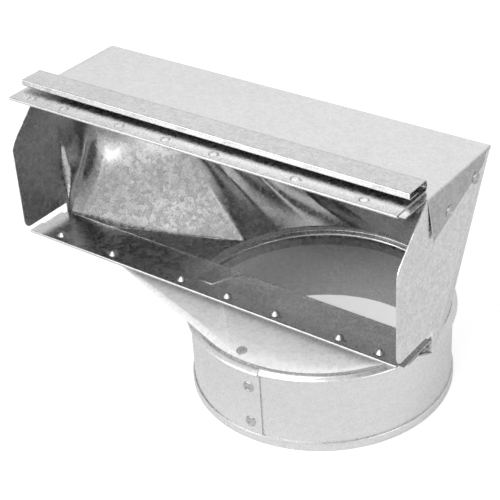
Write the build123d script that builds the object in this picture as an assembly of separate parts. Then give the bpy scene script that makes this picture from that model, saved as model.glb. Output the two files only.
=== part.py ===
from build123d import *
import math
import os

# Galvanised stack boot: a flat rectangular mouth that turns down into a round collar at its right end.
# Origin: centre of the collar's foot. +X runs along the mouth to the collar end, -Y out of the mouth, +Z up.

# Sheet and general clearances
sheet = 0.5
seat_clearance = 0.05
cut_margin = 2.0

# Round collar
pipe_diameter = 127.0
pipe_clearance = 0.3
collar_wall_height = 39.0
bead_height = 5.0
bead_reach = 2.2
bead_slope = 1.7
grip_height = 0.5
hem_height = 4.5
lap_width = 19.0
lap_angle = -79.5
neck_clearance = 0.1

# Mouth and box
mouth_width = 223.0
mouth_height = 76.5
collar_to_end = 71.0
mouth_plane = -15.5
back_edge = 34.0
shelf_rise = 1.6
cleat_gap = 0.3
ring_points = 72
# Sheets drawn in at the lower corners, where the slanted walls meet the mouth
low_corner_draw = 3

# Flaps beside the mouth
flap_reach = 31.0
flap_top_drop = 23.0
flap_chamfer_start = 7.0
flap_foot_gap = 2.0
flap_corner = 4.0

# Upper and lower cleats
cleat_length = 222.0
cleat_shift = 4.0
pocket_height = 4.8
outer_reach = 14.5
lip_reach = 25.0
hem_return = 9.0
curl_drop = 1.6
curl_return = 3.0
pocket_bend = 1.9
fold_bend = 0.5
first_nib = 11.0
nib_steps = (21.5, 35.5, 28.0, 28.0, 44.5, 35.0)
# Length of the strip on which the first nib and the steps were measured
nib_rule = 222.0
nib_radius = 2.2
nib_tip_radius = 0.75
nib_height = 1.2
nib_inset = 4.6

# Top cap tabs
tab_height = 22.0
tab_front_setback = 6.5
tab_front_lean = 3.5
tab_back_margin = 4.0
tab_tail_height = 6.0
back_flange_height = 10.0
back_flange_margin = 12.0

# Clinch joints
clinch_radius = 2.4
clinch_height = 0.7
tab_clinch_places = ((0.22, 0.62), (0.7, 0.4))
collar_clinch_heights = (11.0, 31.5)
collar_clinch_setback = 6.0
front_clinch_angle = -95.0
front_clinch_inset = 5.0

# Levels and planes worked out from the sizes above
bore_radius = pipe_diameter / 2 + pipe_clearance
collar_radius = bore_radius + sheet
hem_radius = collar_radius + 2 * sheet
neck_radius = bore_radius - neck_clearance
bead_top = collar_wall_height + bead_height
ring_level = bead_top + grip_height
right_wall = collar_to_end
left_wall = collar_to_end - mouth_width
shelf_level = ring_level + shelf_rise
riser = pocket_height + 3 * sheet + seat_clearance + cleat_gap
lip_level = shelf_level + riser
top_level = lip_level + mouth_height
panel_top = top_level + sheet
cleat_right = right_wall - cleat_shift
cleat_left = cleat_right - cleat_length
outer_front = mouth_plane - outer_reach
lip_front = mouth_plane - lip_reach
flap_front = mouth_plane - flap_reach
back_lean = (neck_radius - back_edge) / (top_level - ring_level)


def side_plate(points, x_inner, thickness):
    """A flat plate drawn in the YZ plane, standing at x_inner and thickening along +X."""
    outline = Polyline(*[(0, y, z) for y, z in points], close=True)
    return extrude(make_face(outline.edges()), amount=thickness, dir=(1, 0, 0)).moved(Pos(x_inner, 0, 0))


def ring_loop(radius, level, start=0.0, end=360.0):
    """Points of the round opening between two angles in degrees."""
    steps = round(ring_points * (end - start) / 360)
    angles = [math.radians(start + (end - start) * i / steps) for i in range(steps + 1)]
    return [(radius * math.cos(a), radius * math.sin(a), level) for a in angles]


def box_envelope(inset):
    """The space from the mouth to the back half of the round opening, drawn in by inset."""
    corners = []
    for wall, inward in ((left_wall, inset), (right_wall, -inset)):
        corners.append((wall + inward, mouth_plane + inset, top_level))
        corners.append((wall + inward, back_edge - inset, top_level))
        corners.append((wall + low_corner_draw * inward, mouth_plane + inset, shelf_level + inset))
    return ConvexPolyhedron(corners + ring_loop(neck_radius - inset, ring_level + inset, 0, 180))


def shelf_envelope(inset):
    """The shallow cone in front of the mouth, from its lower edge to the whole round opening."""
    level = shelf_level - inset
    edge = [(left_wall + inset, mouth_plane, level), (right_wall - inset, mouth_plane, level)]
    return ConvexPolyhedron(edge + ring_loop(neck_radius - inset, ring_level - inset))


def flap(x_inner):
    """A plain end flap that guides the stack: chamfered above, round at its front corners."""
    points = [
        (mouth_plane, top_level),
        (mouth_plane - flap_chamfer_start, top_level),
        (flap_front, top_level - flap_top_drop),
        (flap_front, lip_level + flap_foot_gap),
        (mouth_plane, lip_level + flap_foot_gap),
    ]
    plate = side_plate(points, x_inner, sheet)
    corners = plate.edges().filter_by(Axis.X).group_by(Axis.Y)[0]
    return fillet(corners, flap_corner)


def boot_body():
    """The wrapper: one sheet that turns from the mouth's rectangle to the round neck."""
    outer = box_envelope(0) + shelf_envelope(0)
    neck_drop = ring_level - collar_wall_height
    outer += Pos(0, 0, ring_level - neck_drop) * Cylinder(
        neck_radius, neck_drop, align=(Align.CENTER, Align.CENTER, Align.MIN)
    )
    bore = Pos(0, 0, collar_wall_height - cut_margin) * Cylinder(
        neck_radius - sheet, neck_drop + cut_margin + riser, align=(Align.CENTER, Align.CENTER, Align.MIN)
    )
    cut_width = 2 * (neck_radius + cut_margin)
    below_ring = Pos(0, 0, ring_level - sheet) * Box(
        cut_width, cut_width, 2 * neck_drop, align=(Align.CENTER, Align.CENTER, Align.MAX)
    )
    shell = outer - box_envelope(sheet)
    mouth = Pos((left_wall + right_wall) / 2, mouth_plane, lip_level) * Box(
        mouth_width - 2 * sheet, 2 * cut_margin, mouth_height, align=(Align.CENTER, Align.CENTER, Align.MIN)
    )
    shell -= mouth
    mouth_inside = mouth_plane + sheet
    front_half = Pos(0, mouth_inside, ring_level) * Box(
        cut_width, cut_width, 2 * neck_drop, align=(Align.CENTER, Align.MAX, Align.CENTER)
    )
    shell -= bore & shelf_envelope(sheet) & front_half
    shell -= bore & below_ring
    back_half = Pos(0, mouth_inside, ring_level + sheet + seat_clearance) * Box(
        cut_width, cut_width, 2 * neck_drop, align=(Align.CENTER, Align.MIN, Align.MAX)
    )
    shell -= bore & back_half
    behind_mouth = Pos(0, mouth_inside, shelf_level + sheet + seat_clearance) * Box(
        cut_width, -mouth_inside, 2 * neck_drop, align=(Align.CENTER, Align.MIN, Align.MAX)
    )
    shell -= bore & behind_mouth
    flange_length = lip_reach - 2 * sheet
    flange = Pos((left_wall + right_wall) / 2, mouth_plane + sheet, lip_level) * Box(
        mouth_width - 2 * sheet, flange_length + sheet, sheet, align=(Align.CENTER, Align.MAX, Align.MAX)
    )
    shell += flange
    shell += flap(left_wall)
    shell += flap(right_wall - sheet)
    angle = math.radians(front_clinch_angle)
    place = neck_radius - front_clinch_inset
    shell += Pos(place * math.cos(angle), place * math.sin(angle), ring_level) * Cylinder(
        clinch_radius, 2 * clinch_height
    )
    return shell


def tab_outline():
    """Outline of a fold-down side tab, whose lower edge climbs to the back corner."""
    front = mouth_plane - tab_front_setback
    back = back_edge - tab_back_margin
    return [
        (front, panel_top),
        (front + tab_front_lean, top_level - tab_height),
        (back - tab_back_margin, top_level - tab_tail_height),
        (back, panel_top),
    ]


def tab_clinches(x_face, direction):
    """Clinch buttons on a side tab."""
    span = back_edge - mouth_plane
    buttons = []
    for along, down in tab_clinch_places:
        centre = Pos(x_face, mouth_plane + along * span, top_level - down * tab_height)
        button = Cylinder(clinch_radius, clinch_height, align=(Align.CENTER, Align.CENTER, Align.MIN))
        buttons.append(centre * Rot(0, 90 * direction, 0) * button)
    return buttons


def top_cap():
    """The lid: a flat panel with side tabs, a back flange and a front edge that the upper cleat holds."""
    outer_left = left_wall - sheet - seat_clearance
    outer_right = right_wall + seat_clearance
    panel = Pos(outer_left, back_edge, top_level) * Box(
        outer_right + sheet - outer_left, back_edge - mouth_plane + tab_front_setback, sheet,
        align=(Align.MIN, Align.MAX, Align.MIN)
    )
    front_edge = lip_front + 2 * sheet
    panel += Pos((left_wall + right_wall) / 2, front_edge, top_level) * Box(
        mouth_width - 2 * sheet, mouth_plane - front_edge, sheet, align=(Align.CENTER, Align.MIN, Align.MIN)
    )
    panel += side_plate(tab_outline(), outer_left, sheet)
    panel += side_plate(tab_outline(), outer_right, sheet)
    for button in tab_clinches(outer_right + sheet, 1) + tab_clinches(outer_left, -1):
        panel += button
    face = back_edge + seat_clearance
    section = [
        (back_edge - sheet, panel_top),
        (face + sheet, panel_top),
        (face + sheet + back_lean * back_flange_height, top_level - back_flange_height),
        (face + back_lean * back_flange_height, top_level - back_flange_height),
        (face, top_level),
        (back_edge - sheet, top_level),
    ]
    return panel + side_plate(section, left_wall + back_flange_margin, mouth_width - 2 * back_flange_margin)


def cleat_section(plate_level):
    """The folded strip in section: curl, outer layer, pocket bend, lip and the hem that grips the plate."""
    middle = plate_level + seat_clearance + sheet / 2
    outer = middle + pocket_height + sheet
    under = plate_level - sheet - seat_clearance - sheet / 2
    cleat_back = mouth_plane - seat_clearance - sheet / 2
    path = FilletPolyline(
        (outer_front + curl_return, outer - curl_drop),
        (outer_front, outer - curl_drop),
        (outer_front, outer),
        (cleat_back, outer),
        (cleat_back, middle),
        (lip_front, middle),
        (lip_front, under),
        (lip_front + hem_return, under),
        radius=[fold_bend, fold_bend, pocket_bend, pocket_bend, fold_bend, fold_bend],
    )
    section = Plane.YZ * trace(path, line_width=sheet)
    return section, under - sheet / 2


def upper_cleat():
    """The S cleat along the mouth's upper edge, with its nibs pressed inwards."""
    section, under = cleat_section(panel_top)
    strip = extrude(section, amount=cleat_length, dir=(1, 0, 0)).moved(Pos(cleat_left, 0, 0))
    place = first_nib
    places = [place]
    for step in nib_steps:
        place += step
        places.append(place)
    stretch = cleat_length / nib_rule
    for place in places:
        strip += Pos(cleat_left + stretch * place, lip_front + nib_inset, under) * Rot(180, 0, 0) * Cone(
            nib_radius, nib_tip_radius, nib_height, align=(Align.CENTER, Align.CENTER, Align.MIN)
        )
    return strip


def lower_cleat(upper):
    """The same strip turned over about the mouth's long centre line."""
    half_turn = Rot(0, 180, 0)
    centre = (cleat_left + cleat_right) / 2
    middle = (panel_top + lip_level - sheet) / 2
    return Pos(centre, 0, middle) * half_turn * Pos(-centre, 0, -middle) * upper


def round_collar():
    """The collar: beaded at its top where it grips the neck, hemmed outwards at its foot."""
    swell = bore_radius + bead_reach
    crest_low = collar_wall_height + bead_slope
    crest_high = bead_top - bead_slope
    wall = Polyline(
        (bore_radius, 0),
        (bore_radius, collar_wall_height),
        (swell, crest_low),
        (swell, crest_high),
        (bore_radius, bead_top),
        (bore_radius, ring_level),
        (collar_radius, ring_level),
        (collar_radius, bead_top),
        (swell + sheet, crest_high),
        (swell + sheet, crest_low),
        (collar_radius, collar_wall_height),
        (collar_radius, hem_height),
        (hem_radius, hem_height),
        (hem_radius, 0),
        close=True,
    )
    profile = Plane.XZ * make_face(wall.edges())
    collar = revolve(profile, axis=Axis.Z)
    lap = Plane.XZ * Pos(collar_radius, hem_height) * Rectangle(
        sheet, collar_wall_height - hem_height, align=(Align.MIN, Align.MIN)
    )
    lap_turn = math.degrees(lap_width / collar_radius)
    collar += Rot(0, 0, lap_angle) * revolve(lap, axis=Axis.Z, revolution_arc=-lap_turn)
    setback = math.degrees(collar_clinch_setback / collar_radius)
    for level in collar_clinch_heights:
        button = Rot(0, 90, 0) * Cylinder(clinch_radius, 2 * clinch_height)
        collar += Rot(0, 0, lap_angle - setback) * Pos(collar_radius + sheet, 0, level) * button
    return collar


os.makedirs("parts", exist_ok=True)
top_strip = upper_cleat()
nodes = {
    "top_cap": top_cap(),
    "boot_body": boot_body(),
    "round_collar": round_collar(),
    "upper_cleat": top_strip,
    "lower_cleat": lower_cleat(top_strip),
}
for name, solid in nodes.items():
    export_step(solid, f"parts/{name}.step")
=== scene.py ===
"""Galvanised stack boot: a rectangular mouth with slip cleats that turns down into a round collar."""
import logging
import math
from dataclasses import dataclass
from enum import Enum
from typing import Any, Sequence

import bmesh
import bpy
from mathutils import Matrix, Vector, noise


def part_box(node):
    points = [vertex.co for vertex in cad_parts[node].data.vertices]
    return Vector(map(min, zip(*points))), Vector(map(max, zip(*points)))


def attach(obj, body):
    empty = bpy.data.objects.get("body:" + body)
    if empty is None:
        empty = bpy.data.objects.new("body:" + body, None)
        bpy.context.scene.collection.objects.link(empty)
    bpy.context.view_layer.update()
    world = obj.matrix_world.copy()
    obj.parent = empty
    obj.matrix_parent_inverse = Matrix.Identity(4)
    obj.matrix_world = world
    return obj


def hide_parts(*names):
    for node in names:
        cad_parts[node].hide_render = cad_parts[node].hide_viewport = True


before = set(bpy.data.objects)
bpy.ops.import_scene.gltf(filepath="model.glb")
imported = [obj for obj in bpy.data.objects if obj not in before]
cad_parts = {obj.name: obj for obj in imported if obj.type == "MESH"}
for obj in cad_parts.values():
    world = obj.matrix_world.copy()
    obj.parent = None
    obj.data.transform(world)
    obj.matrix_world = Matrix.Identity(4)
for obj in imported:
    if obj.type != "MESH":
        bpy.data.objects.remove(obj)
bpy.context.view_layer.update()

LOG = logging.getLogger("stack_boot")
MM = 0.001
SHEET = 0.5 * MM
SEAT = 0.05 * MM
BODY = "root"
# Bounds of the front panel that the wrapper's finish paints paler, as painted light.
FRONT_PANEL_TOP = 48.0 * MM
FRONT_PANEL_BACK = -15.0 * MM
LIP_RISE = 6.35 * MM
SHELF_RISE = 1.6 * MM
BACK_EDGE = 34.0 * MM
FRONT = 270.0
UP = Vector((0, 0, 1))
DOWN_STEPS = 29

Rows = list[list[Vector]]


class Side(Enum):
    """The two ends of the mouth, by the sign of X."""

    LEFT = -1
    RIGHT = 1


class Tone(Enum):
    """How bright a sheet is, as the grey of its darkest and lightest grains."""

    LID = (0.63, 0.90)
    WRAPPER = (0.64, 0.91)
    COLLAR = (0.74, 0.94)
    CLEAT = (0.52, 0.81)
    # Painted shade: the inner faces, the lid's underside, the neck and the lid and collar clinch joints take
    # this darker tone.
    LINING_PAINTED_SHADE = (0.38, 0.72)
    # Painted shade: the side tabs take this darker tone for the dark reflection that they show; the front
    # clinch joint shares it.
    TAB = (0.36, 0.62)
    # Painted shade: the lower cleat is the same sheet as the upper one, given a darker tone for the shade on
    # its upturned lip.
    LOW_CLEAT_PAINTED_SHADE = (0.46, 0.76)


# Meshes


def grid_mesh(name: str, grids: Sequence[Rows]) -> bpy.types.Object:
    """Joins grids of points into one welded mesh object.

    Args:
        name: The object's name.
        grids: Each grid is a list of rows with equally many points.

    Returns:
        The new object, linked to the scene.
    """
    builder = bmesh.new()
    for rows in grids:
        lines = [[builder.verts.new(point) for point in row] for row in rows]
        for upper, lower in zip(lines, lines[1:]):
            for i in range(len(upper) - 1):
                builder.faces.new((upper[i], upper[i + 1], lower[i + 1], lower[i]))
    bmesh.ops.remove_doubles(builder, verts=builder.verts, dist=0.002 * MM)
    bmesh.ops.dissolve_degenerate(builder, edges=builder.edges, dist=0.001 * MM)
    mesh = bpy.data.meshes.new(name)
    builder.to_mesh(mesh)
    builder.free()
    item = bpy.data.objects.new(name, mesh)
    bpy.context.scene.collection.objects.link(item)
    return item


def face_outwards(rows: Rows, outward: Vector) -> Rows:
    """Turns a grid's winding so that its middle face looks along outward.

    Args:
        rows: The grid.
        outward: The direction that its front should face.

    Returns:
        The grid, with its rows reversed where that was needed.
    """
    i = len(rows) // 2
    j = len(rows[0]) // 2
    along = rows[i][j] - rows[i][j - 1]
    down = rows[i][j] - rows[i - 1][j]
    return rows if along.cross(down).dot(outward) > 0 else rows[::-1]


def make_plain(item: bpy.types.Object) -> None:
    """Turns an object's modifiers into plain mesh.

    Args:
        item: The object, whose mesh is replaced.
    """
    graph = bpy.context.evaluated_depsgraph_get()
    mesh = bpy.data.meshes.new_from_object(item.evaluated_get(graph))
    item.modifiers.clear()
    old = item.data
    item.data = mesh
    bpy.data.meshes.remove(old)


def thicken(
    item: bpy.types.Object, offset: float, finishes: Sequence["Galvanised"], thickness: float = SHEET
) -> None:
    """Gives a surface the thickness of sheet metal.

    Args:
        item: The surface.
        offset: -1 to grow behind the surface, 0 to grow both ways.
        finishes: The finish in front, and then the one behind if it is another.
        thickness: The sheet's thickness in metres.
    """
    for finish in finishes:
        item.data.materials.append(finish.material())
    solid = item.modifiers.new("sheet", "SOLIDIFY")
    solid.thickness = thickness
    solid.offset = offset
    solid.material_offset = len(finishes) - 1
    make_plain(item)


def shade(item: bpy.types.Object, degrees: float) -> None:
    """Shades an object smooth, apart from edges sharper than an angle.

    Args:
        item: The object.
        degrees: The angle.
    """
    item.data.shade_smooth()
    item.data.set_sharp_from_angle(angle=math.radians(degrees))


def dress(item: bpy.types.Object, slot: str, finish: "Galvanised", *nodes: str) -> None:
    """Gives a piece its finish and its place in the part.

    Args:
        item: The piece.
        slot: Not used.
        finish: What it is made of.
        nodes: The CAD nodes that it stands for.
    """
    if not item.data.materials:
        item.data.materials.append(finish.material())
    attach(item, BODY)
    if nodes:
        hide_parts(*nodes)
    LOG.info("%s: %d faces", item.name, len(item.data.polygons))


def spread(start: float, end: float, count: int) -> list[float]:
    """Evenly spaced values from start to end, both included."""
    return [start + (end - start) * i / (count - 1) for i in range(count)]


def turned(section: Sequence[tuple[float, float]], degrees: float) -> list[Vector]:
    """A section's radii and heights, turned about Z to an angle."""
    angle = math.radians(degrees)
    return [Vector((r * math.cos(angle), r * math.sin(angle), z)) for r, z in section]


def round_path(points: Sequence[tuple[float, float]], radii: Sequence[float], step: float) -> list[Vector]:
    """Rounds the corners of a bent strip's section and divides its straight runs.

    Args:
        points: The section's corners, in the plane of the section.
        radii: One bend radius for each inner corner.
        step: The longest straight step.

    Returns:
        Points along the section.
    """
    corners = [Vector(point) for point in points]
    path = [corners[0]]
    for before, corner, after, radius in zip(corners, corners[1:], corners[2:], radii):
        back = (before - corner).normalized()
        ahead = (after - corner).normalized()
        half = back.angle(ahead) / 2
        reach = radius / math.tan(half)
        centre = corner + (back + ahead).normalized() * radius / math.sin(half)
        first = corner + back * reach - centre
        last = corner + ahead * reach - centre
        for part in spread(0, 1, 7):
            path.append(centre + first.lerp(last, part).normalized() * radius)
    path.append(corners[-1])
    divided = [path[0]]
    for start, end in zip(path, path[1:]):
        pieces = max(1, math.ceil((end - start).length / step))
        divided += [start.lerp(end, i / pieces) for i in range(1, pieces + 1)]
    return divided


# Shading


class Sock:
    """A shader socket that takes part in Python expressions."""

    def __init__(self, graph: "Graph", socket: bpy.types.NodeSocket) -> None:
        """Keeps the socket and the graph that it belongs to."""
        self.graph = graph
        self.socket = socket

    def _math(self, operation: str, first: Any, second: Any) -> "Sock":
        """Adds a Math node for an operation on two values."""
        return self.graph.node("ShaderNodeMath", {"operation": operation}, {0: first, 1: second})

    def __add__(self, other: "Sock | float") -> "Sock":
        """This value plus another."""
        return self._math("ADD", self, other)

    def __radd__(self, other: "Sock | float") -> "Sock":
        """Another value plus this one."""
        return self._math("ADD", other, self)

    def __sub__(self, other: "Sock | float") -> "Sock":
        """This value less another."""
        return self._math("SUBTRACT", self, other)

    def __rsub__(self, other: "Sock | float") -> "Sock":
        """Another value less this one."""
        return self._math("SUBTRACT", other, self)

    def __mul__(self, other: "Sock | float") -> "Sock":
        """This value times another."""
        return self._math("MULTIPLY", self, other)

    def __rmul__(self, other: "Sock | float") -> "Sock":
        """Another value times this one."""
        return self._math("MULTIPLY", other, self)


class Graph:
    """The node tree of one material."""

    def __init__(self, name: str) -> None:
        """Starts a material with an empty node tree."""
        self.material = bpy.data.materials.new(name)
        self.material.use_nodes = True
        self.tree = self.material.node_tree
        self.tree.nodes.clear()

    def node(self, kind: str, settings: dict[str, Any], sockets: dict[Any, Any], output: Any = 0) -> Sock:
        """Adds a node.

        Args:
            kind: The node's type.
            settings: Its properties; stops holds a colour ramp's places and colours.
            sockets: Values or links of its inputs, by name or number.
            output: The output that is handed back, by name or number.

        Returns:
            That output.
        """
        node = self.tree.nodes.new(kind)
        for key, value in settings.items():
            if key == "stops":
                for element, (place, colour) in zip(node.color_ramp.elements, value):
                    element.position = place
                    element.color = colour
            else:
                setattr(node, key, value)
        for key, value in sockets.items():
            if isinstance(value, Sock):
                self.tree.links.new(value.socket, node.inputs[key])
            else:
                node.inputs[key].default_value = value
        return Sock(self, node.outputs[output]) if node.outputs else None


@dataclass(frozen=True)
class Galvanised:
    """Zinc-coated sheet: a fine grain, faint spangle and broad clouds.

    Attributes:
        name: The material's name.
        tone: The greys of its grain.
        metallic: How metallic it is.
        matt_front: How much less metallic the front panel is.
        front_painted_light: How much paler that panel's grain is painted, as painted light that brightens
            the panel.
        mottle: Strength of grain, spangle and clouds.
        roughness: The mean roughness.
        grain_scale: Grains in a metre.
        spangle_scale: Spangle cells in a metre.
        cloud_scale: Clouds in a metre.
        shares: What grain, spangle and clouds add to the tone.
        rough_shares: What grain and spangle add to the roughness.
        relief: Height of the grain in metres.
        bump: Strength of the relief.
    """

    name: str
    tone: Tone
    metallic: float = 1.0
    roughness: float = 0.29
    grain_scale: float = 1500.0
    spangle_scale: float = 480.0
    cloud_scale: float = 28.0
    shares: tuple[float, float, float] = (1.7, 0.36, 0.22)
    rough_shares: tuple[float, float] = (0.18, 0.1)
    relief: float = 0.00003
    bump: float = 0.55
    matt_front: float = 0.0
    front_painted_light: float = 0.32
    mottle: float = 1.0

    def _front_panel(self, graph: Graph, place: Sock) -> Sock:
        """Adds the mask of the front panel, where the grain is painted paler as painted light and the sheet
        is made less metallic.

        Args:
            graph: The material's node tree.
            place: Object coordinates.

        Returns:
            1 on the panel and 0 elsewhere.
        """
        height = graph.node("ShaderNodeSeparateXYZ", {}, {0: place}, "Z")
        depth = graph.node("ShaderNodeSeparateXYZ", {}, {0: place}, "Y")
        low = graph.node("ShaderNodeMath", {"operation": "LESS_THAN"}, {0: height, 1: FRONT_PANEL_TOP})
        ahead = graph.node("ShaderNodeMath", {"operation": "LESS_THAN"}, {0: depth, 1: FRONT_PANEL_BACK})
        return low * ahead

    def material(self) -> bpy.types.Material:
        """Makes the material, or finds it if it is made.

        Returns:
            The material.
        """
        made = bpy.data.materials.get(self.name)
        if made:
            return made
        graph = Graph(self.name)
        place = graph.node("ShaderNodeTexCoord", {}, {}, "Object")
        grain = graph.node(
            "ShaderNodeTexNoise",
            {},
            {"Vector": place, "Scale": self.grain_scale, "Detail": 4.0, "Roughness": 0.62},
        )
        cell = graph.node(
            "ShaderNodeTexVoronoi", {}, {"Vector": place, "Scale": self.spangle_scale}, "Color"
        )
        spangle = graph.node("ShaderNodeSeparateColor", {}, {0: cell})
        cloud = graph.node(
            "ShaderNodeTexNoise", {}, {"Vector": place, "Scale": self.cloud_scale, "Detail": 3.0}
        )
        grains, spangles, clouds = self.shares
        mix = (grain - 0.5) * grains + (spangle - 0.5) * spangles + (cloud - 0.5) * clouds
        mix = 0.5 + mix * self.mottle
        front = self._front_panel(graph, place) if self.matt_front else None
        if front:
            # Painted light: the front panel's grain is made paler.
            mix = mix + front * self.front_painted_light
        dark, light = self.tone.value
        colour = graph.node(
            "ShaderNodeValToRGB",
            {"stops": ((0.1, (dark, dark, dark * 1.01, 1)), (0.9, (light, light, light * 0.995, 1)))},
            {0: mix},
        )
        by_grain, by_spangle = self.rough_shares
        rough = self.roughness + (grain - 0.5) * by_grain + (spangle - 0.5) * by_spangle
        normal = graph.node(
            "ShaderNodeBump", {}, {"Strength": self.bump, "Distance": self.relief, "Height": mix}, "Normal"
        )
        metallic = self.metallic - front * self.matt_front if front else self.metallic
        surface = graph.node(
            "ShaderNodeBsdfPrincipled",
            {},
            {"Base Color": colour, "Metallic": metallic, "Roughness": rough, "Normal": normal},
        )
        graph.node("ShaderNodeOutputMaterial", {}, {"Surface": surface})
        return graph.material


# Clinch joints


@dataclass
class ClinchButtons:
    """Round clinch joints: a raised rim round a shallow dome, repeated at stated places.

    Attributes:
        name: The piece's name.
        slot: The record's material slot.
        radius: Radius of the rim.
        rim: Half the rim's thickness.
        dome: Height of the dome.
    """

    name: str
    slot: str
    radius: float = 2.3 * MM
    rim: float = 0.6 * MM
    dome: float = 0.3 * MM

    def _tree(self) -> bpy.types.GeometryNodeTree:
        """Makes the node tree that puts a button on every point.

        Returns:
            The tree.
        """
        tree = bpy.data.node_groups.new(self.name, "GeometryNodeTree")
        face = tree.interface
        face.new_socket("Geometry", in_out="INPUT", socket_type="NodeSocketGeometry")
        for label in ("Radius", "Rim", "Dome"):
            face.new_socket(label, in_out="INPUT", socket_type="NodeSocketFloat")
        face.new_socket("Material", in_out="INPUT", socket_type="NodeSocketMaterial")
        face.new_socket("Geometry", in_out="OUTPUT", socket_type="NodeSocketGeometry")

        def add(kind: str, links: dict[str, Any], values: dict[str, Any] | None = None) -> Any:
            """Adds a node with its links and plain values, and hands back its outputs."""
            node = tree.nodes.new(kind)
            for key, socket in links.items():
                for one in socket if isinstance(socket, tuple) else (socket,):
                    tree.links.new(one, node.inputs[key])
            for key, value in (values or {}).items():
                node.inputs[key].default_value = value
            return node.outputs

        given = add("NodeGroupInput", {})
        wide, rim, dome = given["Radius"], given["Rim"], given["Dome"]
        circle = add("GeometryNodeCurvePrimitiveCircle", {"Radius": wide}, {"Resolution": 36})
        section = add("GeometryNodeCurvePrimitiveCircle", {"Radius": rim}, {"Resolution": 12})
        curves = {"Curve": circle["Curve"], "Profile Curve": section["Curve"]}
        ring = add("GeometryNodeCurveToMesh", curves)
        ball = add("GeometryNodeMeshUVSphere", {}, {"Segments": 28, "Rings": 14, "Radius": 1.0})
        scale = add("ShaderNodeCombineXYZ", {"X": wide, "Y": wide, "Z": dome})
        cap = add("GeometryNodeTransform", {"Geometry": ball["Mesh"], "Scale": scale["Vector"]})
        join = add("GeometryNodeJoinGeometry", {"Geometry": (ring["Mesh"], cap["Geometry"])})
        aim = tree.nodes.new("GeometryNodeInputNamedAttribute")
        aim.data_type = "FLOAT_VECTOR"
        aim.inputs["Name"].default_value = "aim"
        turn = tree.nodes.new("FunctionNodeAlignRotationToVector")
        turn.axis = "Z"
        tree.links.new(aim.outputs["Attribute"], turn.inputs["Vector"])
        place = add(
            "GeometryNodeInstanceOnPoints",
            {
                "Points": given["Geometry"],
                "Instance": join["Geometry"],
                "Rotation": turn.outputs["Rotation"],
            },
        )
        real = add("GeometryNodeRealizeInstances", {"Geometry": place["Instances"]})
        paint = add("GeometryNodeSetMaterial", {"Geometry": real["Geometry"], "Material": given["Material"]})
        add("NodeGroupOutput", {"Geometry": paint["Geometry"]})
        return tree

    def build(self, places: Sequence[tuple[Vector, Vector]], finish: Galvanised) -> bpy.types.Object:
        """Makes the buttons.

        Args:
            places: The point and the outward direction of each button.
            finish: What they are made of; the callers give darker tones here as painted shade.

        Returns:
            The buttons as one piece.
        """
        mesh = bpy.data.meshes.new(self.name)
        mesh.from_pydata([point for point, _ in places], [], [])
        aim = mesh.attributes.new("aim", "FLOAT_VECTOR", "POINT")
        for entry, (_, direction) in zip(aim.data, places):
            entry.vector = direction
        item = bpy.data.objects.new(self.name, mesh)
        bpy.context.scene.collection.objects.link(item)
        tree = self._tree()
        modifier = item.modifiers.new("buttons", "NODES")
        modifier.node_group = tree
        values = {"Radius": self.radius, "Rim": self.rim, "Dome": self.dome, "Material": finish.material()}
        for socket in tree.interface.items_tree:
            if socket.in_out == "INPUT" and socket.name in values:
                modifier[socket.identifier] = values[socket.name]
        make_plain(item)
        shade(item, 50)
        dress(item, self.slot, finish)
        return item


# Sheet pieces


@dataclass
class Levels:
    """Places shared by the pieces, read from the frame.

    Attributes:
        left: Outer face of the wrapper's left wall.
        right: Outer face of its right wall.
        top: Upper edge of the wrapper.
        ring: Level of the round opening.
        ring_radius: Its radius.
        lid: Upper face of the lid.
        mouth: Plane of the mouth.
        lip: Level of the mouth's lower edge.
        shelf: Level of the fold under that edge.
        back: Upper edge of the back wall.
    """

    left: float
    right: float
    top: float
    ring: float
    ring_radius: float
    lid: float
    mouth: float
    lip: float
    shelf: float
    back: float

    @classmethod
    def read(cls) -> "Levels":
        """Reads the levels from the frame's nodes.

        Returns:
            The levels.
        """
        low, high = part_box("boot_body")
        collar_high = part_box("round_collar")[1]
        upper_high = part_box("upper_cleat")[1]
        lower_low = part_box("lower_cleat")[0]
        return cls(
            left=low.x,
            right=high.x,
            top=high.z,
            ring=collar_high.z,
            ring_radius=high.y,
            lid=high.z + SHEET,
            mouth=upper_high.y + SEAT,
            lip=lower_low.z + LIP_RISE,
            shelf=collar_high.z + SHELF_RISE,
            back=BACK_EDGE,
        )

    def on_ring(self, degrees: float) -> Vector:
        """The point of the round opening at an angle."""
        angle = math.radians(degrees)
        return Vector((self.ring_radius * math.cos(angle), self.ring_radius * math.sin(angle), self.ring))


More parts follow.
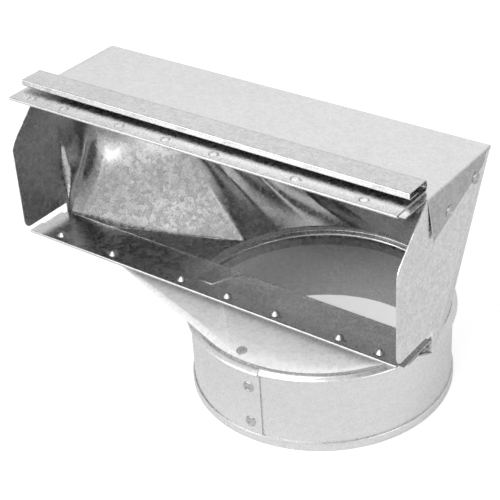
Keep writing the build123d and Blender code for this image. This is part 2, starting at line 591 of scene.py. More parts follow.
@dataclass
class Wrapper:
    """The boot's body: one sheet of flat triangles and cones from the mouth to the round neck.

    Attributes:
        at: The shared levels.
        flap_reach: How far the end flaps stand out of the mouth.
        flap_drop: Height of their chamfer.
        flap_flat: Length of their upper edge before the chamfer.
        flap_foot: Gap under them.
        flap_round: Radius of their front corners.
        flange: Length of the flange that the lower cleat holds.
        left_fold: Ring angle where the left triangle ends, in degrees.
        bends: Brake bends in the cone at the left back corner.
        bend_depth: How far the sheet is drawn in between those bends.
        crumple: Depth of the dents at the left back corner.
        crumple_scale: Dents in a metre.
        crumple_at: Their middle, as shares of the left wall's X and the top's Z.
        crumple_reach: How far they spread.
        pinch: Depth of the dents along the fold of the left wall.
        pinch_reach: How far from the fold they lie.
        pinch_waves: Waves along the fold.
        pinch_phase: Where the waves start, in radians.
        crown: How far the front panel is crowned above its true rulings.
        crown_from: Ring angle where the crown starts, in degrees.
        crown_to: Ring angle where it ends.
        seam_edge: Where the front lap starts on the mouth's edge.
        seam_angle: Where it meets the neck, in degrees.
        seam_lap: Width of the lap.
        flange_seam: Where the seam crosses the flange, at the mouth and at the cleat's hem.
        flange_open: Width of the flange that the hem leaves open.
        lap_lift: Height of the front lap at the seam and its fall across, in sheets.
        flange_lift: The same on the flange, with its fall towards the hem in between.
        flange_wave: Waviness of the flange there.
        wave_scale: Waves in a metre.
        clinch_down: The front clinch joint's share of the way down the seam.
        clinch_in: Its distance from the seam.
    """

    at: Levels
    flap_reach: float = 31.0 * MM
    flap_drop: float = 23.0 * MM
    flap_flat: float = 7.0 * MM
    flap_foot: float = 5.5 * MM
    flap_round: float = 4.0 * MM
    flange: float = 24.0 * MM
    left_fold: float = 162.0
    bends: int = 4
    bend_depth: float = 3.0 * MM
    crumple: float = 6.5 * MM
    crumple_scale: float = 30.0
    crumple_at: tuple[float, float] = (0.55, 0.7)
    crumple_reach: float = 85.0 * MM
    pinch: float = 5.5 * MM
    pinch_reach: float = 9.0 * MM
    pinch_waves: float = 1.7
    pinch_phase: float = 0.5
    crown: float = 2.4 * MM
    crown_from: float = 246.0
    crown_to: float = 324.0
    seam_edge: float = -50.7 * MM
    seam_angle: float = 263.2
    seam_lap: float = 24.0 * MM
    flange_seam: tuple[float, float] = (-33.6 * MM, -42.0 * MM)
    flange_open: float = 16.0 * MM
    lap_lift: tuple[float, float] = (1.2, 1.8)
    flange_lift: tuple[float, float, float] = (1.3, 0.6, 1.9)
    flange_wave: float = 0.3 * MM
    wave_scale: float = 38.0
    clinch_down: float = 0.925
    clinch_in: float = 7.1 * MM

    def _tangent(self, first: Vector, second: Vector, low: float, high: float) -> float:
        """Finds where a plane through an edge touches the round opening.

        Args:
            first: One end of the edge.
            second: The other end.
            low: The smallest angle, in degrees.
            high: The largest angle.

        Returns:
            The angle of the point that leaves the whole ring on one side.
        """
        ring = [self.at.on_ring(i * 5) for i in range(72)]
        inside = Vector((0, 0, (self.at.top + self.at.ring) / 2))

        def outside(degrees: float) -> float:
            """How far the ring stands out of the plane at an angle."""
            normal = (second - first).cross(self.at.on_ring(degrees) - first).normalized()
            if (inside - first).dot(normal) > 0:
                normal.negate()
            return max((point - first).dot(normal) for point in ring)

        return min(spread(low, high, 241), key=outside)

    def _panels(self) -> list[Rows]:
        """Works out the sheet's flat triangles and cones.

        Returns:
            One grid for each stretch, from the mouth's edges down to the ring.
        """
        at = self.at
        corner = {
            (side, end): Vector((at.left if side is Side.LEFT else at.right, y, z))
            for side in Side
            for end, y, z in (
                ("front", at.mouth, at.top),
                ("back", at.back, at.top),
                ("low", at.mouth, at.shelf),
            )
        }
        left_back, right_back = corner[Side.LEFT, "back"], corner[Side.RIGHT, "back"]
        left_low, right_low = corner[Side.LEFT, "low"], corner[Side.RIGHT, "low"]
        right_angle = self._tangent(right_back, right_low, 0, 60)
        left_angle = self.left_fold
        stretches = (
            (right_low, right_back, right_angle, right_angle, 24, 0),
            (right_back, right_back, right_angle, 90, 40, 4),
            (right_back, left_back, 90, 90, 48, 0),
            (left_back, left_back, 90, left_angle, 36, self.bends),
            (left_back, left_low, left_angle, left_angle, 36, 0),
            (left_low, left_low, left_angle, FRONT, 72, 0),
            (left_low, right_low, FRONT, FRONT, 60, 0),
            (right_low, right_low, FRONT, 360 + right_angle, 60, 0),
        )
        grids = []
        for start, end, from_angle, to_angle, count, bends in stretches:
            rows = []
            for part in spread(0, 1, count + 1):
                upper = start.lerp(end, part)
                lower = at.on_ring(from_angle + (to_angle - from_angle) * part)
                inward = Vector((-lower.x, -lower.y, 0)).normalized()
                depth = self.bend_depth * abs(math.sin(math.pi * bends * part)) if bends else 0
                angle = from_angle + (to_angle - from_angle) * part
                rows.append(
                    [
                        self._pressed(upper.lerp(lower, v), inward, depth, v) + self._crown(angle, v)
                        for v in spread(0, 1, DOWN_STEPS)
                    ]
                )
            grids.append(rows)
        for side, back, low in ((Side.RIGHT, right_back, right_low), (Side.LEFT, left_back, left_low)):
            front = corner[side, "front"]
            inward = Vector((-side.value, 0, 0))
            rows = [
                [self._dented(front.lerp(back, u).lerp(low, v), inward, side) for v in spread(0, 1, 57)]
                for u in spread(0, 1, 37)
            ]
            grids.append(rows if side is Side.RIGHT else rows[::-1])
        return grids

    def _crown(self, degrees: float, down: float) -> Vector:
        """The front panel's crown, which is greatest at the front of the ring.

        Args:
            degrees: The ring angle.
            down: Share of the way from the mouth's edge to the ring.

        Returns:
            The move that it adds.
        """
        reach = FRONT - self.crown_from if degrees < FRONT else self.crown_to - FRONT
        share = max(0.0, 1 - abs(degrees - FRONT) / reach)
        highest = 27 / 256
        return UP * (self.crown * share / highest * down**3 * (1 - down))

    def _pressed(self, point: Vector, inward: Vector, depth: float, down: float) -> Vector:
        """Draws a point of the sheet in, between the bends and where forming has crumpled it.

        Args:
            point: The point on the true sheet.
            inward: The direction to the collar's axis.
            depth: How far the bends draw it in.
            down: Its share of the way from the mouth to the ring.

        Returns:
            The moved point.
        """
        at = self.at
        out, high = self.crumple_at
        corner = Vector((at.left * out, at.back, at.top * high))
        near = max(0.0, 1 - (point - corner).length / self.crumple_reach)
        dent = self.crumple * near * (0.5 + noise.noise(point * self.crumple_scale))
        pressed = (depth + max(0.0, dent)) * math.sin(math.pi * down)
        return point + inward * (pressed + self._pinched(point))

    def _dented(self, point: Vector, inward: Vector, side: Side) -> Vector:
        """A point of a side wall, which is dented at the left end only."""
        return point + inward * self._pinched(point) if side is Side.LEFT else point

    def _pinched(self, point: Vector) -> float:
        """How far the dents along the fold of the left wall draw a point in.

        Args:
            point: The point on the true sheet.

        Returns:
            The depth there.
        """
        at = self.at
        top = Vector((at.left, at.back, at.top))
        fold = Vector((at.left, at.mouth, at.shelf)) - top
        along = (point - top).dot(fold) / fold.length_squared
        if not 0 < along < 1 or point.y < at.mouth + self.pinch_reach / 4:
            return 0.0
        away = (point - top - fold * along).length / self.pinch_reach
        wave = 0.5 + 0.5 * math.sin(2 * math.pi * self.pinch_waves * along + self.pinch_phase)
        return self.pinch * wave * math.sin(math.pi * along) * (away * math.exp(1 - away)) ** 3

    def _flap(self, side: Side) -> Rows:
        """Works out one end flap.

        Args:
            side: Which end of the mouth.

        Returns:
            Its grid.
        """
        at = self.at
        x = at.left if side is Side.LEFT else at.right
        front = at.mouth - self.flap_reach
        foot = at.lip + self.flap_foot
        rows = []
        for part in spread(0, 1, 41):
            y = at.mouth + (front - at.mouth) * part
            run = max(0.0, at.mouth - self.flap_flat - y) / (self.flap_reach - self.flap_flat)
            near = max(0.0, self.flap_round - (y - front))
            bite = self.flap_round - math.sqrt(max(0.0, self.flap_round**2 - near**2))
            upper = at.top - self.flap_drop * run - bite * 0.6
            rows.append([Vector((x, y, z)) for z in spread(upper, foot + bite, 13)])
        return face_outwards(rows, Vector((side.value, 0, 0)))

    def _front(self) -> list[Rows]:
        """Works out the riser and the flange in the lower cleat, and the lap on the front panel.

        Returns:
            Their grids.
        """
        at = self.at
        inset = SHEET
        across = spread(at.left + inset, at.right - inset, 60)
        section = [(at.mouth, at.shelf), (at.mouth, at.lip), (at.mouth - self.flange, at.lip)]
        path = round_path(section, (0.8 * MM,), 2 * MM)
        riser = [[Vector((x, y, z + self._waved(x, y))) for x in across] for y, z in path]
        lap = [[self._on_lap(u, v) for u in spread(0, 1, 14)] for v in spread(0.12, 0.965, 30)]
        inner = [[self._on_flange(u, v) for u in spread(0, 1, 14)] for v in spread(0.05, 1, 12)]
        return [
            face_outwards(riser, Vector((0, -1, -1))),
            face_outwards(lap, Vector((0, 0, 1))),
            face_outwards(inner, Vector((0, 0, -1))),
        ]

    def _waved(self, x: float, y: float) -> float:
        """How far the open flange waves up at a place.

        Args:
            x: The place along the mouth.
            y: The place out of the mouth.

        Returns:
            The added height, none at the bend and under the hem.
        """
        share = (self.at.mouth - y) / self.flange_open
        if not 0 < share < 1:
            return 0.0
        wave = noise.noise(Vector((x * self.wave_scale, y * self.wave_scale, 0.7)))
        return self.flange_wave * wave * math.sin(math.pi * share)

    def _on_flange(self, across: float, out: float) -> Vector:
        """A point of the lap on the flange, which stands up at the seam and sinks in beyond it.

        Args:
            across: Share of the lap's width from the seam.
            out: Share of the way from the mouth to the cleat's hem.

        Returns:
            The point.
        """
        near, far = self.flange_seam
        x = near + (far - near) * out - self.seam_lap * across
        y = self.at.mouth - self.flange_open * out
        high, press, sink = self.flange_lift
        lift = SHEET * (high - press * out - sink * across)
        return Vector((x, y, self.at.lip + lift + self._waved(x, y)))

    def _on_lap(self, across: float, down: float) -> Vector:
        """A point of the front lap, which stands up at the seam and sinks into the panel beyond it.

        Args:
            across: Share of the lap's width from the seam.
            down: Share of the way from the mouth's edge to the ring.

        Returns:
            The point.
        """
        at = self.at
        start = Vector((self.seam_edge, at.mouth, at.shelf))
        high, sink = self.lap_lift
        lift = self._crown(FRONT, down) + UP * (SHEET * (high - sink * across))
        on_seam = start.lerp(at.on_ring(self.seam_angle), down)
        return on_seam + Vector((self.seam_lap * across, 0, 0)) + lift

    def front_clinch(self) -> tuple[Vector, Vector]:
        """Place and outward direction of the clinch joint on the front lap."""
        place = self._on_lap(self.clinch_in / self.seam_lap, self.clinch_down)
        return place, Vector((0, -0.2, 1)).normalized()

    def build(self, finish: Galvanised, shaded_lining: Galvanised) -> bpy.types.Object:
        """Makes the wrapper.

        Args:
            finish: Its outer face.
            shaded_lining: Its inner face, in a darker tone as painted shade.

        Returns:
            The piece.
        """
        grids = self._panels()
        back_wall = grids[2]
        if face_outwards(back_wall, Vector((0, 1, 0))) is not back_wall:
            grids = [rows[::-1] for rows in grids]
        grids += [self._flap(side) for side in Side] + self._front()
        item = grid_mesh("boot_wrapper", grids)
        thicken(item, -1, (finish, shaded_lining))
        shade(item, 62)
        dress(item, "boot_body", finish, "boot_body")
        return item


@dataclass
class Collar:
    """The rolled collar: a bead that grips the neck, a lapped seam and a hem turned outwards.

    Attributes:
        at: The shared levels.
        wall: Height of the plain wall below the bead.
        bead: Height of the bead.
        crevice: Depth of the gap between the bead and the front panel.
        swell: How far the bead stands out.
        hem: Height of the hem.
        bore: Inner radius.
        seam: Angle of the seam in degrees.
        lap_step: How far the outer sheet stands out at the seam.
        lap_gap: Depth of the dark gap beside the outer sheet's edge.
        gap_angle: Width of that gap, in degrees.
        lap_fade: Angle over which the outer sheet closes on the inner one.
        neck_end: Level where the neck ends inside.
        neck_gap: Gap between the neck and the collar.
        neck_step: How far the neck steps in below the bead.
        neck_sheet: Thickness of the neck.
        clinch_levels: Heights of the clinch joints on the seam.
        clinch_back: Angle from the seam to the clinch joints.
    """

    at: Levels
    wall: float = 39.0 * MM
    bead: float = 4.1 * MM
    crevice: float = 0.5 * MM
    swell: float = 2.2 * MM
    hem: float = 4.5 * MM
    bore: float = 63.8 * MM
    seam: float = -82.0
    lap_fade: float = 48.0
    lap_step: float = 0.85 * MM
    lap_gap: float = 0.42 * MM
    gap_angle: float = 0.45
    neck_end: float = 33.0 * MM
    neck_gap: float = 0.15 * MM
    neck_step: float = 0.25 * MM
    neck_sheet: float = 0.4 * MM
    clinch_levels: tuple[float, ...] = (11.0 * MM, 31.5 * MM)
    clinch_back: float = 5.35

    def _bead(self, radius: float, reach: float, falling: bool) -> list[tuple[float, float]]:
        """Points round the bead.

        Args:
            radius: Radius of the wall.
            reach: How far the bead stands out of it.
            falling: Whether the points run downwards.

        Returns:
            Radius and height of each point.
        """
        steps = spread(1, 0, 19) if falling else spread(0, 1, 19)
        return [(radius + reach * math.sin(math.pi * t) ** 1.3, self.wall + self.bead * t) for t in steps]

    def _section(self) -> list[tuple[float, float]]:
        """The collar's closed section.

        Returns:
            Radius and height of each point, down the outside and up the inside.
        """
        outer = self.bore + SHEET
        hem = outer + 2 * SHEET
        gap = outer - self.crevice
        points = [(self.bore, self.at.ring), (gap, self.at.ring), (gap, self.wall + self.bead + 0.1 * MM)]
        points += self._bead(outer, self.swell, True)
        points += [(outer, z) for z in spread(self.wall - 1 * MM, self.hem + 1 * MM, 14)]
        points += [(outer, self.hem + 0.2 * MM), (outer + 0.12 * MM, self.hem - 0.5 * MM)]
        points += [(outer + 0.4 * MM, self.hem - 0.1 * MM), (outer + 0.7 * MM, self.hem)]
        points += [(hem, self.hem - 0.4 * MM), (hem, 0.5 * MM), (hem - 0.15 * MM, 0.12 * MM)]
        points += [(outer + 0.4 * MM, 0), (self.bore + 0.3 * MM, 0), (self.bore + 0.07 * MM, 0.14 * MM)]
        points += [(self.bore, z) for z in spread(0.5 * MM, self.wall - 0.5 * MM, 16)]
        points += self._bead(self.bore, self.swell, False)
        return points + points[:1]

    def _lap(self, degrees: float, height: float) -> float:
        """How far the outer sheet of the seam stands out.

        Args:
            degrees: Angle round the collar.
            height: Height above the foot.

        Returns:
            The added radius.
        """
        back = (self.seam - degrees) % 360
        inside = self.hem < height < self.wall + self.bead
        if inside and 360 - self.gap_angle < back < 360:
            return -self.lap_gap
        return self.lap_step * (1 - back / self.lap_fade) if inside and 0 < back < self.lap_fade else 0.0

    def build(self, finish: Galvanised, neck_shaded_finish: Galvanised) -> None:
        """Makes the collar, the neck inside it and the clinch joints on its seam.

        Args:
            finish: What the collar is made of.
            neck_shaded_finish: The neck's and the clinch joints' finish, a darker tone as painted shade.
        """
        step = 1.25
        edge = 0.02
        turns = [edge, self.gap_angle - edge, self.gap_angle + edge]
        turns += [step * i for i in range(1, int(360 / step))] + [360 - edge, 360 + edge]
        angles = [self.seam + turn for turn in turns]
        section = self._section()
        outer = self.bore + SHEET / 2
        rows = []
        for degrees in angles:
            lapped = [(r + (self._lap(degrees, z) if r > outer else 0.0), z) for r, z in section]
            rows.append(turned(lapped, degrees))
        item = grid_mesh("collar_rolled", [face_outwards(rows, Vector((0, 0, -1)))])
        builder = bmesh.new()
        builder.from_mesh(item.data)
        bmesh.ops.recalc_face_normals(builder, faces=builder.faces)
        builder.to_mesh(item.data)
        builder.free()
        shade(item, 48)
        dress(item, "round_collar", finish, "round_collar")
        self._neck(neck_shaded_finish)
        back = math.radians(self.seam - self.clinch_back)
        out = Vector((math.cos(back), math.sin(back), 0))
        lapped = self.bore + SHEET + self.lap_step * (1 - self.clinch_back / self.lap_fade)
        places = [(out * lapped + Vector((0, 0, z)), out) for z in self.clinch_levels]
        ClinchButtons("collar_clinches", "round_collar").build(places, neck_shaded_finish)

    def _neck(self, finish: Galvanised) -> None:
        """Makes the wrapper's neck, which is beaded into the collar and ends inside it.

        Args:
            finish: What it is made of, the darker lining tone as painted shade.
        """
        radius = self.bore - self.neck_gap
        section = [(self.at.ring_radius - SEAT, self.at.ring)]
        section += self._bead(radius, self.swell - self.neck_gap, True)
        section += [(radius - self.neck_step, z) for z in spread(self.wall - 1 * MM, self.neck_end, 6)]
        rows = [turned(section, degrees) for degrees in spread(0, 360, 241)]
        middle = rows[len(rows) // 2][10]
        item = grid_mesh("neck_ring", [face_outwards(rows, Vector((middle.x, middle.y, 0)))])
        thicken(item, -1, (finish,), self.neck_sheet)
        shade(item, 48)
        dress(item, "boot_body", finish)


@dataclass
class Lid:
    """The top panel with its folded side tabs, back flange and front edge.

    Attributes:
        at: The shared levels.
        setback: How far the tabs start in front of the mouth.
        lean: Slant of the tabs' front edge.
        tab: Height of the tabs at the front.
        tail: Height of the tabs at the back.
        tab_margin: How far the tabs end before the back edge.
        front: Reach of the edge in the upper cleat.
        flange: Height of the back flange.
        flange_margin: How far the flange ends before the panel's corners.
        fold: Outer radius of the folds.
        wave: Waviness of the panel.
        wave_scale: Waves in a metre.
        calm: Width of the flat margin along the edges.
        flare: How far the tabs' lower edges spring out.
        clinches: Places of the tabs' clinch joints, along the wall and down the tab.
    """

    at: Levels
    setback: float = 6.5 * MM
    lean: float = 3.5 * MM
    tab: float = 22.0 * MM
    tail: float = 6.0 * MM
    tab_margin: float = 4.0 * MM
    front: float = 24.0 * MM
    flange: float = 10.0 * MM
    flange_margin: float = 12.0 * MM
    fold: float = 0.9 * MM
    wave: float = 0.16 * MM
    wave_scale: float = 16.0
    calm: float = 20.0 * MM
    flare: float = 1.0 * MM
    clinches: tuple[tuple[float, float], ...] = ((0.22, 0.62), (0.7, 0.4))

    def _depth(self, y: float) -> float:
        """Height of the side tabs at a place along the fold.

        Args:
            y: The place.

        Returns:
            The height of the tab there.
        """
        start = self.at.mouth - self.setback
        full = start + self.lean
        end = self.at.back - self.tab_margin
        tail = end - self.tab_margin
        if y <= start or y >= end:
            return 0.0
        if y < full:
            return self.tab * (y - start) / self.lean
        if y < tail:
            return self.tab + (self.tail - self.tab) * (y - full) / (tail - full)
        return self.tail * (end - y) / self.tab_margin

    def _side(
        self, x: float, side: Side, y: float, tab: Sequence[float], quarter: Sequence[float]
    ) -> list[Vector]:
        """Points up a side tab and round its fold.

        Args:
            x: The tab's outer face.
            side: Which end of the lid.
            y: The place along the fold.
            tab: Depths of the points below the fold.
            quarter: Angles round the fold.

        Returns:
            The points, from the tab's lower edge to the panel.
        """
        top = self.at.lid
        out = side.value
        points = [Vector((x + out * self.flare * d / self.tab, y, top - self.fold - d)) for d in tab]
        for a in quarter:
            inward = self.fold * (1 - math.cos(a))
            points.append(Vector((x - out * inward, y, top - self.fold * (1 - math.sin(a)))))
        return points

    def _panel(self, edges: tuple[float, float]) -> Rows:
        """Works out the panel and its side tabs.

        Args:
            edges: The outer faces of the left and right tab.

        Returns:
            Their grid, from the front to the back.
        """
        at = self.at
        left, right = edges
        start = at.mouth - self.setback
        tail = at.back - 2 * self.tab_margin
        stations = spread(start, start + self.lean, 9) + spread(start + self.lean, tail, 30)[1:]
        stations += spread(tail, at.back - self.tab_margin, 7)[1:]
        stations += [at.back - 2.5 * MM, at.back - 1 * MM]
        quarter = [math.radians(a) for a in spread(0, 90, 7)]
        rows = []
        for y in stations:
            drop = max(0.0, self._depth(y) - self.fold)
            tab = spread(drop, 0, 8)[:-1]
            row = self._side(left, Side.LEFT, y, tab, quarter)
            for x in spread(left + self.fold, right - self.fold, 72)[1:-1]:
                swell = noise.noise(Vector((x * self.wave_scale, y * self.wave_scale, 0.3))) * self.wave
                edge = min(min(x - left, right - x, at.back - y) / self.calm, 1.0)
                row.append(Vector((x, y, at.lid + swell * max(0.0, edge))))
            row += reversed(self._side(right, Side.RIGHT, y, tab, quarter))
            rows.append(row)
        return face_outwards(rows, Vector((0, 0, 1)))

    def _back(self, edges: tuple[float, float]) -> Rows:
        """Works out the back flange.

        Args:
            edges: The outer faces of the left and right tab.

        Returns:
            Its grid.
        """
        at = self.at
        left, right = edges
        slope = (at.ring_radius - at.back) / (at.top - at.ring)
        face = at.back + SEAT + SHEET
        rows = []
        for x in spread(left + self.fold, right - self.fold, 90):
            margin = min(x - left, right - x) - self.flange_margin
            depth = self.flange * min(1.0, max(0.0, margin / (1.5 * MM)))
            row = [Vector((x, at.back - 1 * MM, at.lid))]
            row += [
                Vector((x, face - self.fold * (1 - math.sin(a)), at.lid - self.fold * (1 - math.cos(a))))
                for a in (math.radians(d) for d in spread(0, 80, 7))
            ]
            drops = spread(0.1 * MM, depth + 0.2 * MM, 7)
            row += [Vector((x, face + slope * d, at.lid - self.fold - d)) for d in drops]
            rows.append(row)
        return face_outwards(rows, Vector((0, 1, 1)))

    def build(self, finish: Galvanised, shaded_lining: Galvanised, tabs: Galvanised) -> None:
        """Makes the lid and its clinch joints.

        Args:
            finish: Its upper face.
            shaded_lining: Its lower face and its clinch joints, in a darker tone as painted shade.
            tabs: The side tabs' finish, a darker tone as painted shade for the dark reflection that they
                show.
        """
        at = self.at
        edges = (at.left - SHEET - SEAT, at.right + SHEET + SEAT)
        start = at.mouth - self.setback
        tongue = [
            [Vector((x, y, at.lid)) for x in spread(at.left + SHEET, at.right - SHEET, 40)]
            for y in spread(start, at.mouth - self.front, 8)
        ]
        grids = [self._panel(edges), self._back(edges), face_outwards(tongue, Vector((0, 0, 1)))]
        item = grid_mesh("lid_sheet", grids)
        thicken(item, -1, (finish, shaded_lining))
        # Painted shade: the faces that look along X, on the side tabs, take the darker tab finish.
        item.data.materials.append(tabs.material())
        for face in item.data.polygons:
            if abs(face.normal.x) > 0.8:
                face.material_index = 2
        shade(item, 40)
        dress(item, "top_cap", finish, "top_cap")
        span = at.back - at.mouth
        places = []
        for side, x in zip(Side, edges):
            for along, down in self.clinches:
                sprung = x + side.value * self.flare * down
                point = Vector((sprung, at.mouth + along * span, at.top - down * self.tab))
                places.append((point, Vector((side.value, 0, 0))))
        ClinchButtons("lid_clinches", "top_cap").build(places, shaded_lining)


@dataclass
class Cleats:
    """The two slip cleats: curl, outer layer, pocket, lip and hem, with nibs pressed through lip and hem.

    Attributes:
        at: The shared levels.
        pocket: Clear height of the pocket.
        outer: Reach of the outer layer.
        lip: Reach of the lip.
        hem: Length of the hem turned back under the plate.
        curl: Drop of the curled edge.
        curl_return: Length of the curled edge.
        pocket_bend: Radius of the pocket's bends.
        fold_bend: Radius of the tight folds.
        first_nib: From the strip's left end to the first nib.
        nib_steps: From each nib to the next.
        nib_radius: Radius of a nib.
        nib_depth: Depth of a nib.
        nib_inset: From the lip's fold to the nibs' centres.
    """

    at: Levels
    pocket: float = 4.8 * MM
    outer: float = 14.5 * MM
    lip: float = 25.0 * MM
    hem: float = 9.0 * MM
    curl: float = 2.9 * MM
    curl_return: float = 7.0 * MM
    pocket_bend: float = 1.9 * MM
    fold_bend: float = 0.5 * MM
    first_nib: float = 11.0 * MM
    nib_steps: tuple[float, ...] = (21.5 * MM, 35.5 * MM, 28.0 * MM, 28.0 * MM, 44.5 * MM, 35.0 * MM)
    nib_radius: float = 2.5 * MM
    nib_depth: float = 2.3 * MM
    nib_inset: float = 4.6 * MM

    def _nibs(self, start: float) -> list[float]:
        """Places of the nibs along the upper strip.

        Args:
            start: The strip's left end.

        Returns:
            The X of each nib.
        """
        places = [start + self.first_nib]
        for step in self.nib_steps:
            places.append(places[-1] + step)
        return places

    def _strip(self) -> Rows:
        """Works out the upper strip.

        Returns:
            Its grid, along X.
        """
        at = self.at
        low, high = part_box("upper_cleat")
        middle = at.lid + SEAT + SHEET / 2
        outer = middle + self.pocket + SHEET
        under = at.top - SEAT - SHEET / 2
        back = at.mouth - SEAT - SHEET / 2
        outer_front = at.mouth - self.outer
        lip_front = at.mouth - self.lip
        corners = [
            (outer_front + self.curl_return, outer - self.curl),
            (outer_front, outer - self.curl),
            (outer_front, outer),
            (back, outer),
            (back, middle),
            (lip_front, middle),
            (lip_front, under),
            (lip_front + self.hem, under),
        ]
        tight, wide = (self.fold_bend,) * 2, (self.pocket_bend,) * 2
        radii = tight + wide + tight
        path = round_path(corners, radii, 0.45 * MM)
        nibs = self._nibs(low.x)
        row = lip_front + self.nib_inset
        near = [n + d for n in nibs for d in spread(-self.nib_radius, self.nib_radius, 13)]
        clear = self.nib_radius + 0.4 * MM
        far = [x for x in spread(low.x, high.x, 75) if min(abs(x - n) for n in nibs) > clear]
        rows = []
        for x in sorted(near + far):
            nib = min(nibs, key=lambda n: abs(x - n))
            line = []
            for y, z in path:
                away = math.hypot(x - nib, y - row) / self.nib_radius
                pressed = z < middle + 0.1 * MM and away < 1
                dip = self.nib_depth * (0.5 + 0.5 * math.cos(math.pi * away)) ** 0.8 if pressed else 0.0
                line.append(Vector((x, y, z - dip)))
            rows.append(line)
        return rows

    def build(self, upper_finish: Galvanised, lower_shaded_finish: Galvanised) -> None:
        """Makes both cleats: the lower one is the upper one turned over.

        Args:
            upper_finish: What the upper cleat is made of.
            lower_shaded_finish: What the lower cleat is made of, a darker tone as painted shade.
        """
        upper = self._strip()
        low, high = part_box("upper_cleat")
        lower_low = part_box("lower_cleat")[0]
        turn_x = low.x + high.x
        turn_z = high.z + lower_low.z
        lower = [[Vector((turn_x - p.x, p.y, turn_z - p.z)) for p in row] for row in upper]
        strips = ((upper, "upper_cleat", upper_finish), (lower, "lower_cleat", lower_shaded_finish))
        for rows, name, finish in strips:
            item = grid_mesh(f"{name}_strip", [rows])
            thicken(item, 0, (finish,))
            shade(item, 48)
            dress(item, name, finish, name)


# Stage


@dataclass(frozen=True)
class Lamp:
    """A square soft lamp.

    Attributes:
        name: Its name.
        place: Where it hangs, in metres.
        size: Its side.
        power: Its power in watts.
    """

    name: str
    place: tuple[float, float, float]
    size: float
    power: float


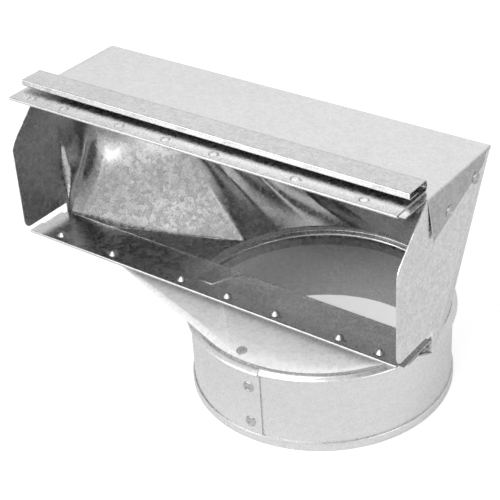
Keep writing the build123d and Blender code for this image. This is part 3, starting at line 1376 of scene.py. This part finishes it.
@dataclass
class Studio:
    """White floor, soft lamps and the camera.

    Attributes:
        azimuth: The camera's turn about Z, from looking along +Y, in degrees.
        elevation: Its height above the horizon.
        roll: Its roll.
        distance: From the target.
        target: The point that it looks at.
        focal: Its focal length as a share of the image's width.
        floor_size: Side of the floor.
        floor_glow: What the camera sees of the floor over the lamps' light.
        sky: Strength of the even light from all round.
        lit: The point that the lamps look at.
        lamps: The lamps.
    """

    azimuth: float = 38.0
    elevation: float = 32.3
    roll: float = -3.7
    distance: float = 753.7 * MM
    target: tuple[float, float, float] = (-82.7 * MM, 52.5 * MM, 13.8 * MM)
    focal: float = 1349.6 / 500
    floor_size: float = 8.0
    floor_glow: float = 0.35
    sky: float = 0.70
    lit: tuple[float, float, float] = (-0.03, 0.0, 0.07)
    lamps: tuple[Lamp, ...] = (
        Lamp("key", (-0.75, -1.15, 0.75), 0.8, 5.2),
        Lamp("front", (0.05, -0.95, 1.25), 0.7, 5.6),
        Lamp("back", (-0.75, 1.0, 1.1), 1.1, 1.2),
        Lamp("side", (1.3, -0.1, 0.7), 0.7, 2.2),
    )

    def _camera(self) -> None:
        """Puts up the camera."""
        turn, rise, roll = (math.radians(v) for v in (self.azimuth, self.elevation, self.roll))
        back = Vector((math.sin(turn) * math.cos(rise), -math.cos(turn) * math.cos(rise), math.sin(rise)))
        right = Vector((math.cos(turn), math.sin(turn), 0))
        up = back.cross(right)
        across = right * math.cos(roll) + up * math.sin(roll)
        over = up * math.cos(roll) - right * math.sin(roll)
        lens = bpy.data.cameras.new("camera")
        lens.sensor_width = 36
        lens.lens = self.focal * lens.sensor_width
        lens.clip_start = 0.01
        camera = bpy.data.objects.new("camera", lens)
        place = Matrix((across, over, back)).transposed().to_4x4()
        place.translation = Vector(self.target) + back * self.distance
        camera.matrix_world = place
        bpy.context.scene.collection.objects.link(camera)
        bpy.context.scene.camera = camera

    def _floor(self) -> None:
        """Lays the white floor, which keeps the contact shadow."""
        half = self.floor_size / 2
        rows = [[Vector((x, y, -0.05 * MM)) for x in (-half, half)] for y in (-half, half)]
        floor = grid_mesh("floor", [face_outwards(rows, UP)])
        graph = Graph("floor_white")
        seen = graph.node("ShaderNodeLightPath", {}, {}, "Is Camera Ray")
        pale = graph.node("ShaderNodeBsdfDiffuse", {}, {"Color": (0.9, 0.9, 0.9, 1)})
        glow = graph.node("ShaderNodeEmission", {}, {"Color": (1, 1, 1, 1), "Strength": self.floor_glow})
        both = graph.node("ShaderNodeAddShader", {}, {0: pale, 1: glow})
        grey = graph.node("ShaderNodeBsdfDiffuse", {}, {"Color": (0.8, 0.8, 0.8, 1)})
        mixed = graph.node("ShaderNodeMixShader", {}, {0: seen, 1: grey, 2: both})
        graph.node("ShaderNodeOutputMaterial", {}, {"Surface": mixed})
        floor.data.materials.append(graph.material)

    def _lamp(self, lamp: Lamp) -> None:
        """Hangs a square soft lamp that looks at the object.

        Args:
            lamp: Its name, place, size and power.
        """
        data = bpy.data.lights.new(lamp.name, "AREA")
        data.shape = "SQUARE"
        data.size = lamp.size
        data.energy = lamp.power
        item = bpy.data.objects.new(lamp.name, data)
        item.location = lamp.place
        aim = Vector(self.lit) - Vector(lamp.place)
        item.rotation_euler = aim.to_track_quat("-Z", "Y").to_euler()
        bpy.context.scene.collection.objects.link(item)

    def build(self) -> None:
        """Sets up the floor, the lamps, the sky and the camera."""
        scene = bpy.context.scene
        scene.view_settings.view_transform = "Standard"
        self._floor()
        for lamp in self.lamps:
            self._lamp(lamp)
        world = bpy.data.worlds.new("sky")
        world.use_nodes = True
        sky = world.node_tree.nodes["Background"]
        sky.inputs["Color"].default_value = (1, 1, 1, 1)
        sky.inputs["Strength"].default_value = self.sky
        scene.world = world
        self._camera()


def main() -> None:
    """Builds the pieces in order, then the stage."""
    logging.basicConfig(level=logging.INFO, format="%(message)s")
    at = Levels.read()
    LOG.info("levels: %s", at)
    # Painted light: the wrapper's front panel is painted paler and made less metallic.
    wrapper = Galvanised("galvanised_wrapper", Tone.WRAPPER, matt_front=0.92)
    # Painted shade: the darker lining stands in for the shade on inner faces.
    shaded_lining = Galvanised("galvanised_lining_painted_shade", Tone.LINING_PAINTED_SHADE, roughness=0.25)
    collar = Galvanised("galvanised_collar", Tone.COLLAR, mottle=0.45)
    lid = Galvanised("galvanised_lid", Tone.LID, mottle=0.75)
    cleat = Galvanised("galvanised_cleat", Tone.CLEAT)
    boot = Wrapper(at)
    boot.build(wrapper, shaded_lining)
    Collar(at).build(collar, shaded_lining)
    # Painted shade: the darker tab tone for the side tabs.
    tab = Galvanised("galvanised_tab_painted_shade", Tone.TAB)
    # Painted shade: the front clinch joint is a mid-grey, less metallic tone that stands in for the shade in
    # its relief.
    clinch = Galvanised("galvanised_clinch_painted_shade", Tone.TAB, metallic=0.3)
    Lid(at).build(lid, shaded_lining, tab)
    # Painted shade: the lower cleat's darker tone.
    Cleats(at).build(cleat, Galvanised("galvanised_low_cleat_painted_shade", Tone.LOW_CLEAT_PAINTED_SHADE, roughness=0.3))
    ClinchButtons("front_clinch", "boot_body", rim=0.35 * MM).build([boot.front_clinch()], clinch)
    Studio().build()


if __name__ == "__main__":
    main()
